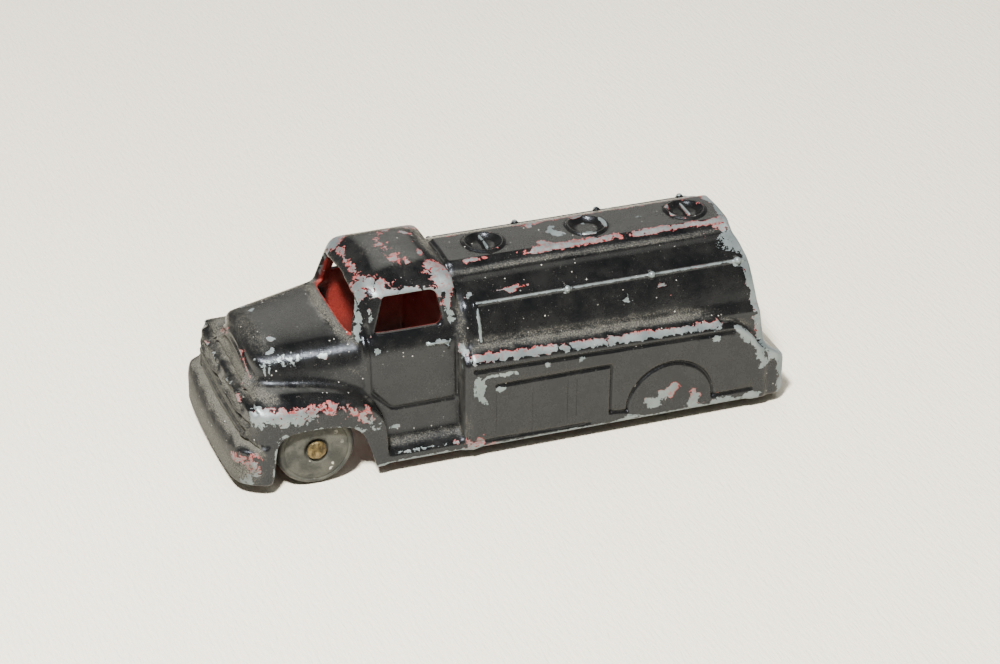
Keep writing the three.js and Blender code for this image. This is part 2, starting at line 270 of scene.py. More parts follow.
def shape(corners, a, b):
    """Signed distance from places (a, b) to a closed outline, negative inside it."""
    return path_distance(outline(corners), a, b, closed=True)


def warped_shape(corners, a, b, fineness=0.1):
    """shape() for places that shift from row to row, read from a fine table of its values."""
    low = np.array((a.min(), b.min())) - fineness
    high = np.array((a.max(), b.max())) + 2 * fineness
    table = shape(
        corners,
        np.arange(low[0], high[0], fineness)[:, None],
        np.arange(low[1], high[1], fineness)[None, :],
    )
    across = ((a - low[0]) / fineness).astype(np.float32)
    upward = ((b - low[1]) / fineness).astype(np.float32)
    i = across.astype(int)
    j = upward.astype(int)
    across -= i
    upward -= j
    near = table[i, j] * (1 - across) + table[i + 1, j] * across
    far = table[i, j + 1] * (1 - across) + table[i + 1, j + 1] * across
    return near * (1 - upward) + far * upward


# ---- Field operations ----

def union(one, other, radius=0.0):
    """Joins two fields, with a fillet of about this radius where they meet."""
    if radius == 0:
        return np.minimum(one, other)
    near = np.maximum(radius - np.abs(one - other), 0)
    return np.minimum(one, other) - near * near / (4 * radius)


def common(one, other, radius=0.0):
    """What two fields share, with its edges rounded to about this radius."""
    return -union(-one, -other, radius)


def cut(one, other, radius=0.0):
    return common(one, -other, radius)


def slab(values, low, high):
    """Signed distance from values to the range between two limits."""
    return np.maximum(low - values, values - high)


def bump(distance, width):
    """A smooth rise from 0 at this half width to 1 on the line."""
    share = np.clip(distance / width, 0, 1)
    return (1 - share * share) ** 2


def softened(field, spread):
    """The field after a Gaussian blur, with its spread in millimetres."""
    reach = max(int(2.5 * spread / STEP), 1)
    weights = np.exp(-0.5 * (np.arange(-reach, reach + 1) * STEP / spread) ** 2)
    weights = (weights / weights.sum()).astype(np.float32)
    for axis in range(3):
        widths = [(reach, reach) if i == axis else (0, 0) for i in range(3)]
        padded = np.moveaxis(np.pad(field, widths, mode="edge"), axis, 0)
        count = field.shape[axis]
        total = sum(weight * padded[shift:shift + count] for shift, weight in enumerate(weights))
        field = np.moveaxis(total, 0, axis)
    return np.ascontiguousarray(field)


# ---- Grid: half of the truck, x from the middle outwards ----

MARGIN = 4 * STEP
x_axis = np.arange(0, HALF_WIDTH + MARGIN, STEP, dtype=np.float32)
y_axis = np.arange(FRONT_END - MARGIN, REAR_END + MARGIN, STEP, dtype=np.float32)
z_axis = np.arange(casting_low.z - MARGIN, ROOF_TOP + MARGIN, STEP, dtype=np.float32)
X = x_axis[:, None, None]
Y = y_axis[None, :, None]
Z = z_axis[None, None, :]
GRID_START = np.array((-x_axis[-1], y_axis[0], z_axis[0]))
FAR = 9.0


def rows(start, stop):
    """The part of the grid's length between two y values, with room for fillets."""
    first, last = np.searchsorted(y_axis, (start - 2, stop + 2))
    return slice(first, last)


def add(field, part, start, stop, radius=0.0):
    """Joins a part into the field, between two y values. The part is a function of Y."""
    here = rows(start, stop)
    field[:, here] = union(field[:, here], part(Y[:, here]), radius)


def take(field, part, start, stop, radius=0.0):
    """Cuts a part out of the field, between two y values. The part is a function of Y."""
    here = rows(start, stop)
    field[:, here] = cut(field[:, here], part(Y[:, here]), radius)


def empty_field():
    return np.full((x_axis.size, y_axis.size, z_axis.size), FAR, np.float32)


# ---- Casting: outer shape ----

def front_bumper(Y):
    side = shape([
        (FRONT_END, RIM_HEIGHT, 0.5), (FRONT_END, 7.1, 0.5), (-49.5, 9.6, 1.2), (-45, 9.6),
        (-45, RIM_HEIGHT),
    ], Y, Z)
    plan = shape(mirrored([
        (0, FRONT_END), (8, FRONT_END + 0.15, 4), (15.7, FRONT_END + 0.8, 2.6),
        (HALF_WIDTH, FRONT_END + 4.6, 2.6), (HALF_WIDTH, -44),
    ]), X, Y)
    return common(side, plan, 0.5)


def front_wings(Y):
    side = shape([
        (-49.2, RIM_HEIGHT), (-49.2, 9.8), (-49.3, 10.6, 0.3), (-48.9, 11.2), (-49.0, 11.8, 0.4),
        (-48.5, 13.0), (-48.6, 13.5, 0.5), (-48.0, 16.0, 0.5), (-47.3, 16.5), (-45.4, 18.0, 2.4),
        (-36, 17.7, 8), (-28.6, 15.9, 4), (-24.2, 11.6, 3), (-23.6, 5, 2), (-24.4, 2, 0.8),
    ], Y, Z)
    section = shape(mirrored([
        (0, 18.4), (12.8, 17.9, 2), (16.4, 16.8, 2.4), (HALF_WIDTH, 14.9, 2), (HALF_WIDTH, 1),
    ]), X, Z)
    plan = shape(mirrored([
        (0, -49.5), (12.6, -48.8, 3), (17.4, -46.8, 3), (HALF_WIDTH, -44.6, 2), (HALF_WIDTH, -23),
    ]), X, Y)
    return common(common(side, section, 0.6), plan, 0.8)


def bonnet(Y, inset=0.0):
    ahead = np.maximum(BONNET_REAR - Y, 0)
    section = warped_shape(mirrored([
        (0, 25.7 - inset), (6, 25.3 - inset, 5), (12.7 - inset, 24.1 - inset, 5),
        (14.5 - inset, 20.0, 4), (14.9 - inset, 15), (14.9 - inset, 8),
    ]), X / (1 - 0.0135 * ahead), Z + 0.12 * ahead)
    nose = shape([
        (BONNET_FRONT + inset, 8), (BONNET_FRONT + inset, 20.4, 0.5),
        (-45.6 + inset, 22.0 - inset, 1.6), (-43.2 + inset, 23.9 - inset, 3), (-38, 27),
        (BONNET_REAR, 28), (BONNET_REAR, 8),
    ], Y, Z)
    plan = shape(mirrored([
        (0, BONNET_FRONT + inset), (6.5, -45.9 + inset, 4), (11 - inset, -44 + inset, 3),
        (12.7 - inset, -40, 4), (15 - inset, BONNET_REAR), (15 - inset, BONNET_REAR + 2),
    ]), X, Y)
    return common(common(section, nose, 1.2), plan, 1.2)


def cab_lower(Y):
    section = shape(mirrored([
        (0, BELT_HEIGHT + 0.4), (13.3, BELT_HEIGHT, 1), (14.4, 22.2, 1.6), (14.9, 17, 6),
        (15.1, 8.5, 3), (15.6, 5.2, 2.5), (HALF_WIDTH - 0.2, 4, 0.6),
        (HALF_WIDTH - 0.2, RIM_HEIGHT),
    ]), X, Z)
    return common(section, slab(Y, BONNET_REAR - 0.5, TANK_FRONT), 0.3)


def cab_upper(Y, inset=0.0):
    base = 20
    rise = (Z - BELT_HEIGHT) / (ROOF_TOP - base)
    lean = 6 * rise / (CAB_REAR - CAB_FRONT)
    plan = warped_shape(mirrored([
        (0, CAB_FRONT + inset), (7.5, -30.0 + inset, 5), (11.6 - inset, -28.0 + inset, 3),
        (13.9 - inset, -24.2, 4), (CAB_HALF_WIDTH - inset, CAB_REAR - inset),
    ]), X / (1 - 0.2 * rise), (Y - CAB_REAR * lean) / (1 - lean))
    side = shape([
        (-35, base), (-29.5, 28), (-25.2 + inset, 33.0 - inset, 1.6),
        (-22.4 + inset, 34.5 - inset, 2.5), (-17.5, ROOF_TOP - inset, 4),
        (-13.6 - inset, ROOF_TOP - inset, 3), (CAB_REAR + 0.4 - inset, TANK_TOP, 1),
        (CAB_REAR + 0.4 - inset, base),
    ], Y, Z)
    front = shape(mirrored([
        (0, ROOF_TOP - inset), (5.5, ROOF_TOP - 0.6 - inset, 4), (9.4 - inset, 33.1 - inset, 2.4),
        (11.7 - inset, 31.4 - inset, 1.2), (12.7 - inset, 28), (CAB_HALF_WIDTH - inset, 22),
        (CAB_HALF_WIDTH - inset, base),
    ]), X, Z)
    return common(common(plan, side, 0.8), front, 1.2)


def tank(Y, inset=0.0, front=TANK_FRONT):
    along = np.clip((Y - TANK_FRONT) / (TANK_REAR - TANK_FRONT), 0, 1)
    height = Z
    for _ in range(3):
        share = np.clip((26 - height) / 5, 0, 1) * np.clip(height / 15, 0, 1)
        height = Z + BELT_DROP * along * share
    section = warped_shape(mirrored([
        (0, TANK_TOP - inset), (4.8 - inset, TANK_TOP - 0.3 - inset, 0.5),
        (6.1 - inset, 30.4 - inset, 0.8), (9.6 - inset, 29.6 - inset, 2.2),
        (RAIL_X - inset, RAIL_Z - inset, 1), (14.5 - inset, 24.6, 3),
        (15.6 - inset, 21.4 - inset, 0.8), (17.2 - inset, 20.6 - inset, 0.8),
        (HALF_WIDTH - inset, 19.3 - inset, 0.8), (HALF_WIDTH - inset, 0),
    ]), X, height)
    foot = -1 if inset else RIM_HEIGHT
    start = front - (0.5 if inset else 0)
    side = shape([
        (start, foot), (start, TANK_TOP + 1), (44.3 - inset, TANK_TOP + 1),
        (44.5 - inset, 31.5 - inset, 1), (TANK_REAR - 0.4 - inset, 12), (TANK_REAR - inset, foot),
    ], Y, Z)
    return common(section, side, 0.5)


def collar(Y):
    """The fillet that fills the corner between the cab and the tank."""
    return common(common(tank(Y, 0.5, TANK_FRONT - 0.9), RIM_HEIGHT - Z), Y - TANK_FRONT - 1)


def skirt_corner(Y):
    """What the skirt's large round rear corner takes away, outboard of the tank's end."""
    corner = [*arc((38, 7), (8.9, 11.4), 90, 0), (47.2, 0), (54, 0), (54, 30), (38, 30)]
    return common(shape(corner, Y, Z), 16.4 - X, 0.3)


def rear_bumper(Y):
    side = shape([
        (44, 1.9), (REAR_END, 1.9, 0.5), (REAR_END, 9.2, 1.2), (47, 12.4), (44, 12.4),
    ], Y, Z)
    plan = shape(mirrored([
        (18.2, 43), (18, REAR_END - 1.6, 1), (16.6, REAR_END, 1), (0, REAR_END),
    ]), X, Y)
    return common(side, plan, 0.5)


def outer_shape():
    cab = empty_field()
    add(cab, cab_lower, BONNET_REAR, TANK_FRONT)
    add(cab, cab_upper, CAB_FRONT, CAB_REAR, 0.8)
    body = empty_field()
    add(body, front_bumper, FRONT_END, -44)
    add(body, front_wings, FRONT_END, -23, 0.7)
    add(body, bonnet, BONNET_FRONT, BONNET_REAR, 1.6)
    body = union(body, cab, 0.8)
    add(body, lambda Y: cut(tank(Y), skirt_corner(Y), 0.5), TANK_FRONT, REAR_END, 1.0)
    add(body, collar, CAB_REAR, TANK_FRONT, 0.8)
    add(body, rear_bumper, 44, REAR_END, 0.8)
    return softened(body, 0.25)


# ---- Casting: hollow inside and openings ----

def wing_cavity(Y):
    side = shape([
        (-47.7, -1), (-47.7, 9.8, 1), (-46.2, 15.1, 1), (-36, 15.6, 4), (-30, 14.4, 3),
        (-26, 11, 2), (-25, 6), (-25, -1),
    ], Y, Z)
    section = shape(mirrored([
        (0, 17.5), (15.4, 15.6, 1.5), (17.6, 14.2, 0.8), (17.6, -1),
    ]), X, Z)
    plan = shape(mirrored([
        (0, -47.9), (12.2, -47.4, 3), (15.8, -45.6, 3), (17.6, -42, 3), (17.6, -24.8),
    ]), X, Y)
    return common(common(side, section), plan)


def door_cavity(Y):
    section = shape(mirrored([
        (0, 23), (12.4, 22.8, 1), (13.4, 17, 4), (13.7, 7, 3), (16.9, 2.6, 1), (16.9, -1),
    ]), X, Z)
    return common(section, slab(Y, -28, CAB_REAR - WALL))


def tank_cavity(Y):
    wide = HALF_WIDTH - THIN_WALL
    narrow = 15.1
    plan = shape(mirrored([
        (wide, TANK_FRONT - 2), (wide, 36.4), (narrow, 38.4), (narrow, REAR_END + 2),
    ]), X, Y)
    return common(tank(Y, THIN_WALL + 0.2, TANK_FRONT + WALL), plan)


def bulkhead_passage(Y):
    return common(common(slab(Y, CAB_REAR - 2, TANK_FRONT + 2), X - 12.5), Z - 9)


def hollow():
    space = empty_field()
    add(space, wing_cavity, FRONT_END, -24)
    add(space, lambda Y: bonnet(Y, WALL), BONNET_FRONT, BONNET_REAR)
    add(space, door_cavity, BONNET_REAR, CAB_REAR, 0.6)
    add(space, lambda Y: cab_upper(Y, WALL), CAB_FRONT, CAB_REAR, 0.6)
    add(space, tank_cavity, TANK_FRONT, REAR_END)
    add(space, bulkhead_passage, CAB_REAR - 2, TANK_FRONT + 2)
    return softened(space, 0.3)


def windscreen(Y):
    hole = shape(mirrored([
        (0, 31.3), (8.6, 30.7, 1.2), (10.8, 23.9, 0.5), (6, 25.1, 4), (0, 25.6),
    ]), X, Z)
    return common(hole, slab(Y, CAB_FRONT - 1.5, -24))


def side_windows(Y):
    hole = shape([
        (-24.6, 25.1, 0.4), (-12.2, 25.1, 1.6), (-13, 31.2, 1.4), (-22.6, 31.2, 0.4),
    ], Y, Z)
    return common(hole, 8 - X)


def front_arch(Y):
    hole = shape([
        (-45, 0), (-44.2, 4, 1), (-43.4, 11.5, 4), (-34, 11.6, 4), (-28.6, 10.2, 4),
        (-26.4, 3.4, 1), (-25.6, 0),
    ], Y, Z)
    return common(hole, 12 - X)


def axle_lug(Y, axle_y, top):
    """One lug, with the seat of the axle and the slot below it that the rod was pressed through."""
    block = common(np.abs(X - 11.4) - 1.2, np.abs(Y - axle_y) - 2.5)
    block = common(block, slab(Z, 4.2, top), 0.3)
    seat = np.sqrt((Y - axle_y) ** 2 + (Z - WHEEL_RADIUS) ** 2) - (ROD_RADIUS + RUNNING_GAP)
    slot = np.maximum(np.abs(Y - axle_y) - ROD_RADIUS * 0.75, Z - WHEEL_RADIUS)
    return cut(block, union(seat, slot))


# ---- Casting: surface detail ----

def lines(a, b, marks):
    """The depth that marks (path, half width, depth) sink a surface, in the plane of a and b."""
    return sum(
        depth * bump(path_distance(outline(path, closed=False), a, b), width)
        for path, width, depth in marks
    )


def door_lines():
    return lines(Y, Z, [
        ([(-25.8, 26.4), (-25.8, 15.0, 0.8), (-22.2, 11.3, 0.8), (-10.9, 11.3)], 0.42, 0.28),
        ([(-10.4, 11.8), (-10.4, 23.0)], 0.35, 0.2),
    ])


def skirt_lines():
    """Cabinets, the rear wheel's arch and the lines along the tank's skirt."""
    seams = [([(place, 4.4), (place, 13.9)], 0.3, 0.14) for place in (-4.3, 2.4, 9.0, 10.7)]
    return lines(Y, Z, seams + [
        ([(TANK_FRONT + 0.3, 17.7), (40.5, 16.8)], 0.4, 0.4),
        ([(-4.3, 14.2), (17.2, 14.2, 0.3), (17.2, 4.7)], 0.42, 0.4),
        ([(TANK_FRONT + 0.3, 3.6), (13.5, 3.2)], 0.38, 0.3),
        (arc((28.6, 4.4), (8.2, 8.2), 0, 180, 24), 0.45, 0.42),
        ([(17.2, 4.7), (20.4, 4.4)], 0.38, 0.35),
        ([(36.8, 4.4), (44.5, 4.4)], 0.38, 0.35),
    ])


def grille_lines():
    """Grooves, raised ribs and long ovals on the nose."""
    return lines(X, Z, [
        ([(0, 9.6), (14.5, 9.6), (17.5, 9.2)], 0.55, 0.45),
        ([(0, 11.3), (13.6, 11.3)], 0.5, 0.55),
        ([(12.5, 10.3), (14.8, 10.3, 1.0), (14.8, 12.2, 1.0), (12.5, 12.3)], 0.55, -0.3),
        ([(0, 13.1), (15, 13.1)], 0.5, 0.5),
        (arc((7.2, 14.7), (5.7, 1.25), 0, 360, 40), 0.45, -0.4),
        ([(3.2, 14.7), (11.2, 14.7)], 0.8, 0.35),
        ([(0, 16.6), (14.5, 16.4), (16.5, 15.6)], 0.6, 0.65),
        (arc((0, 17.0), (9.3, 4.6), 0, 90, 20), 0.5, -0.4),
        (arc((0, 16.2), (8.2, 4.1), 0, 90, 20), 0.45, -0.4),
    ])


def handrail(field):
    """The rail along the tank's shoulder, its drop at the front, and its knobs."""
    def rail(Y):
        run = np.sqrt((X - RAIL_X) ** 2 + (Z - RAIL_Z) ** 2) - 0.25
        return common(run, slab(Y, RAIL_FRONT, RAIL_REAR), 0.2)

    def drop(Y):
        side = path_distance(np.array([(RAIL_X, RAIL_Z), (14.6, 24.6), (15.4, 21.6)]), X, Z)
        return np.sqrt(side ** 2 + (Y - RAIL_FRONT) ** 2) - 0.28

    add(field, rail, RAIL_FRONT, RAIL_REAR, 0.35)
    add(field, drop, RAIL_FRONT, RAIL_FRONT, 0.35)
    for place in KNOB_PLACES:
        add(field, lambda Y: ball(Y, RAIL_X + 0.15, place, RAIL_Z + 0.1, 0.66), place, place, 0.2)


def ball(Y, x, y, z, radius):
    return np.sqrt((X - x) ** 2 + (Y - y) ** 2 + (Z - z) ** 2) - radius


def hatch(field, place):
    """A round filling hatch on the walkway: a low ring and a sunk lid."""
    here = rows(place - 3, place + 3)
    radius = np.sqrt(X ** 2 + (Y[:, here] - place) ** 2)
    lid = 0.6 * np.clip(4 - radius / 0.75, 0, 1)
    ring = 0.4 * bump(np.abs(radius - 3.4), 0.5)
    field[:, here] += (Z > 28) * (lid - ring)


def hatch_bar(Y, place):
    bar = np.maximum(np.abs(Y - place) - 0.22, X - 2.4)
    return common(bar, np.abs(Z - TANK_TOP + 0.3) - 0.55, 0.2)


def door_handle(Y):
    bar = common(np.abs(Y + 13.6) - 1.9, np.abs(Z - 22.4) - 0.22, 0.2)
    bar = common(bar, np.abs(X - 14.3) - 0.45, 0.2)
    return union(bar, ball(Y, 14.4, -11.9, 21.4, 0.45))


def outside_shape():
    field = outer_shape()
    front = rows(FRONT_END, -46)
    field[:, front] += grille_lines()
    cab = rows(-27, -10)
    field[:, cab] += (X > 11) * door_lines()[:, cab]
    field += (X > 17) * skirt_lines()
    handrail(field)
    for place in (*BARRED_HATCHES, PLAIN_HATCH):
        hatch(field, place)
    for place in BARRED_HATCHES:
        add(field, lambda Y: hatch_bar(Y, place), place, place, 0.2)
    add(field, door_handle, -13.6, -13.6, 0.2)
    return field


def casting_fields():
    """The finished casting's field and, for the paint, the field of its outside alone."""
    outside = outside_shape()
    body = cut(outside, hollow(), 0.3)
    take(body, windscreen, CAB_FRONT, -24, 0.35)
    take(body, side_windows, -25, -12, 0.35)
    take(body, front_arch, -46, -25, 0.35)
    for (axle_y, _), top in zip(AXLE_PLACES.values(), (17, 28)):
        here = rows(axle_y, axle_y)
        lug = np.maximum(axle_lug(Y[:, here], axle_y, top), outside[:, here] + 0.5)
        body[:, here] = union(body[:, here], lug)
    return body, outside


# ---- Casting: mesh ----

def both_sides(half):
    """A field of the whole truck, from the field of its half."""
    return np.concatenate((half[:0:-1], half), 0)


def sample(field, places):
    """The field's values at places in millimetres, by trilinear interpolation."""
    cells = (places - GRID_START) / STEP
    cells = np.clip(cells, 0, np.array(field.shape) - 1.001)
    low = cells.astype(int)
    part = (cells - low).astype(np.float32)
    total = np.zeros(len(places), np.float32)
    for corner in range(8):
        offset = np.array((corner & 1, corner >> 1 & 1, corner >> 2 & 1))
        weight = np.prod(np.where(offset, part, 1 - part), 1)
        total += weight * field[tuple((low + offset).T)]
    return total


def slope(field, places, reach):
    """The field's unit gradient at places."""
    steps = np.eye(3) * reach
    parts = [sample(field, places + step) - sample(field, places - step) for step in steps]
    vectors = np.stack(parts, 1)
    return vectors / np.maximum(np.linalg.norm(vectors, axis=1, keepdims=True), 1e-9)


def mesh_from_field(field, name):
    """A new piece whose surface is where the field is 0."""
    grid = openvdb.FloatGrid(3.0)
    grid.copyFromArray(np.ascontiguousarray(field))
    points, triangles, quads = grid.convertToPolygons(0.0, FLATNESS)
    places = points * STEP + GRID_START
    faces = triangles.tolist() + quads.tolist()
    mesh = bpy.data.meshes.new(name)
    mesh.from_pydata((places * MM).tolist(), [], faces)
    return added(name, mesh)


def thinned(piece, most):
    """Collapses the piece's flattest edges until it has at most this many triangles."""
    triangles = sum(len(face.vertices) - 2 for face in piece.data.polygons)
    modifier = piece.modifiers.new("thin", "DECIMATE")
    modifier.ratio = min(most / triangles, 1)
    modifier.use_collapse_triangulate = True
    solid = piece.evaluated_get(bpy.context.evaluated_depsgraph_get())
    mesh = bpy.data.meshes.new_from_object(solid)
    piece.modifiers.clear()
    piece.data = mesh


def vertex_places(mesh):
    """The mesh's vertices, in millimetres."""
    flat = np.empty(len(mesh.vertices) * 3, np.float32)
    mesh.vertices.foreach_get("co", flat)
    return flat.reshape(-1, 3) / MM


def add_values(mesh, values):
    """Keeps named values at each vertex, for the material to read."""
    for name, numbers in values.items():
        attribute = mesh.attributes.new(name, "FLOAT", "POINT")
        attribute.data.foreach_set("value", np.clip(numbers, 0, 1.5).astype(np.float32))


def wobble(places):
    """A small uneven shift of each place, in millimetres, that makes outlines irregular."""
    x, y, z = places.T
    slow = (np.sin(1.9 * y + 1.3 * z), np.sin(2.3 * z + 1.1 * x + 0.7 * y), np.sin(2.2 * y - 1.6 * x))
    quick = (np.sin(4.3 * y + 3.1 * z), np.sin(5.2 * z - 2.7 * y), np.sin(4.9 * y + 3.7 * x))
    return 0.3 * np.stack(slow, 1) + 0.16 * np.stack(quick, 1)


def mark_strength(places, marks):
    """How strongly marks (path, radius, strength) cover places. Both sides of the truck get them."""
    left = np.array(places, float)
    left[:, 0] = np.abs(left[:, 0])
    uneven = wobble(places)
    total = np.zeros(len(left))
    for path, radius, strength in marks:
        near = left + uneven * min(radius, 1)
        path = np.array(path, float)
        ends = path[1:] if len(path) > 1 else path
        best = np.full(len(near), 1e9)
        for start, stop in zip(path, ends):
            along = stop - start
            share = np.clip((near - start) @ along / max(along @ along, 1e-9), 0, 1)
            best = np.minimum(best, np.linalg.norm(near - start - share[:, None] * along, axis=1))
        total = np.maximum(total, strength * np.clip(1.35 - 0.65 * best / radius, 0, 1))
    return total


def refined(mesh, outside):
    """Splits long edges of the outer skin, to below UNWORN_LIMIT only where chips need an outline."""
    work = bmesh.new()
    work.from_mesh(mesh)
    for longest in EDGE_LIMITS:
        ends = np.array([[*edge.verts[0].co, *edge.verts[1].co] for edge in work.edges]) / MM
        lengths = np.linalg.norm(ends[:, 3:] - ends[:, :3], axis=1)
        middles = (ends[:, :3] + ends[:, 3:]) / 2
        long = lengths > longest
        long[long] = sample(outside, middles[long]) > -SKIN
        if longest < UNWORN_LIMIT:
            long[long] = mark_strength(middles[long], BARE_MARKS) > WORN
        chosen = [edge for edge, is_long in zip(work.edges, long) if is_long]
        bmesh.ops.subdivide_edges(work, edges=chosen, cuts=1)
        bmesh.ops.triangulate(work, faces=[face for face in work.faces if len(face.verts) > 3])
    work.to_mesh(mesh)
    work.free()


def build_casting():
    half_body, half_outside = casting_fields()
    body = both_sides(half_body)
    piece = mesh_from_field(body, "casting")
    thinned(piece, THINNED_FACES)
    mesh = piece.data
    outside = both_sides(half_outside)
    refined(mesh, outside)
    mesh.shade_smooth()
    places = vertex_places(mesh)
    mesh.normals_split_custom_set_from_vertices(slope(body, places, STEP))
    depth = -sample(outside, places)
    fine = sample(both_sides(softened(half_outside, 0.45)), places) + depth
    broad = sample(both_sides(softened(half_outside, 1.3)), places) + depth
    add_values(mesh, {
        "edge": fine / 0.16,
        "crease": -fine / 0.12,
        "ridge": broad / 0.4,
        "hollow": -broad / 0.4,
        "inside": np.minimum((depth - (THIN_WALL - 0.1)) / 0.1, 1),
        "worn": mark_strength(places, BARE_MARKS),
        "pink": mark_strength(places, RED_MARKS),
        "dusty": mark_strength(places, DUST_MARKS),
    })
    mesh.materials.append(enamel())
    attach(piece, "shell")
    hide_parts("body_casting")


# ---- Where the casting is worn ----

# Each mark is (path of points on the surface, radius, strength), with x on the left side.
# It is strongest along its path and fades out at about twice its radius.

# Small chips, from (x, y, z, radius, strength)
CHIPS = [([place], radius, strength) for *place, radius, strength in (
    # Roof, door and bonnet
    (4, -13.6, 35, 0.7, 1.2), (6.2, -16.6, 34.6, 0.5, 1.2), (14.6, -24.5, 22.6, 0.45, 1.25),
    (14.6, -22.7, 22.2, 0.35, 1.25), (14, -14.4, 24.8, 0.3, 1), (5.5, -41, 23.4, 0.5, 1.2),
    (8.4, -41.6, 22.8, 0.5, 1.2), (12.2, -33.5, 22.4, 0.55, 1.25), (12.4, -30.5, 24, 0.4, 1),
    # Walkway, handrail knobs and tank
    (1.4, 35.4, 32.6, 0.5, 1.2), (1.8, 19.2, 32, 0.5, 1), (13.6, 10.5, 27.9, 0.5, 1.4),
    (13.6, 26.4, 27.9, 0.5, 1.4), (13.6, 42.8, 27.9, 0.8, 1.4), (11.2, -7.2, 29.2, 0.6, 1.25),
    (11.4, 0.6, 28.8, 0.5, 1.25), (14.2, 28.4, 26, 0.45, 1.25), (14, 7.4, 26.6, 0.5, 1.1),
    # Skirt
    (18.5, 5, 16.6, 0.35, 1.2), (18.5, 11.4, 16.6, 0.4, 1.2), (18.5, 20.8, 3, 0.5, 1.15),
    (18.4, 37.2, 16, 0.6, 1.15),
)]

# Bare patches on the skirt's flat side, from their places (y, z)
SKIRT_MARKS = [([(HALF_WIDTH, y, z) for y, z in path], radius, strength) for path, radius, strength in (
    # Front corner and along the cabinet's line
    ([(-7.6, 15.6), (-6.9, 11.6)], 0.8, 1),
    ([(-6, 16.4), (-0.4, 16.2)], 0.3, 1.1),
    ([(-4.2, 13.6), (-2.8, 13.5)], 0.28, 1.2),
    # Inside the rear wheel's arch
    ([(25.2, 5), (27, 6)], 0.95, 1.25),
    ([(27, 6), (29.2, 7.8)], 0.6, 1.2),
    ([(33.4, 5.2), (33, 3.4)], 0.8, 1.25),
    # Lower edge behind the arch
    ([(37.4, 2.9), (40, 2.8)], 0.7, 1.1),
    ([(43.6, 2.9), (45.4, 2.8)], 0.7, 1.1),
)]

TANK_MARKS = [
    # Walkway edge
    ([(5, -5.5, 32.2), (5, -3, 32.2)], 0.4, 0.95),
    ([(5, 2.4, 32.2), (5, 6, 32.2)], 0.22, 0.95),
    ([(5.2, 7.4, 32.2), (5, 14.8, 32.2)], 0.6, 1.1),
    ([(5, 16, 32.2), (5, 22.4, 32.2)], 0.5, 1.05),
    ([(5, 26.6, 32.2), (5, 33, 32.2)], 0.55, 1),
    ([(5, 33, 32.2), (5, 44, 32)], 0.4, 1.05),
    # Walkway
    ([(3.4, 9.6, 32.4), (4.6, 10.6, 32.4)], 0.6, 1.1),
    ([(-0.4, 12.4, 32.5), (1.2, 13, 32.5)], 0.7, 1.1),
    ([(-1.6, 27.5, 32.5), (-0.2, 29, 32.5)], 0.6, 1),
    ([(-3.6, 42.6, 32.2), (-2, 43.6, 32.2)], 0.6, 1),
    # Handrail and its drop
    ([(13.1, -6.2, 28.1), (13.1, 44.2, 28.1)], 0.2, 1.05),
    ([(13.4, -6.2, 28), (14.9, -6.2, 24.6), (15.5, -6.2, 21.8)], 0.22, 1.1),
    # Hatches: bars and rims
    ([(0.4, -0.3, 32.8), (2.2, -0.3, 32.7)], 0.28, 1.2),
    ([(0.2, 38.05, 32.8), (2.3, 38.05, 32.7)], 0.3, 1.2),
    ([(3.2, 17.6, 32.7), (3.5, 19.4, 32.7)], 0.25, 1.1),
    ([(-1, 22.3, 32.7), (1.6, 22.2, 32.7)], 0.25, 1.1),
    # Tank side and belt edge
    ([(14.4, 21.8, 25.6), (14.6, 21.2, 24.4)], 0.45, 1.25),
    ([(17.9, -8.2, 19.9), (17.9, 14, 19.1), (17.7, 38, 18.3)], 0.62, 1.02),
    # Tank's rear edge, skirt's rear corner, rear bumper
    ([(0, 44.4, 32), (5.4, 44.2, 31.8), (9.8, 44.4, 29.2), (13, 44.9, 26.6)], 1, 1.05),
    ([(13, 44.9, 26.6), (15, 45.8, 21.6), (16.6, 46.6, 17), (16.8, 47.2, 12)], 1.1, 1.1),
    ([(18.3, 41.4, 16.9), (18.3, 45.2, 13.2), (18.3, 46.6, 9)], 0.75, 1.05),
    ([(17.4, 47.8, 11.4), (17.4, 50.5, 9.5), (17.6, 50.8, 3)], 1, 0.93),
    ([(0, 51.2, 9.3), (16.6, 51, 9.3)], 0.5, 0.85),
]

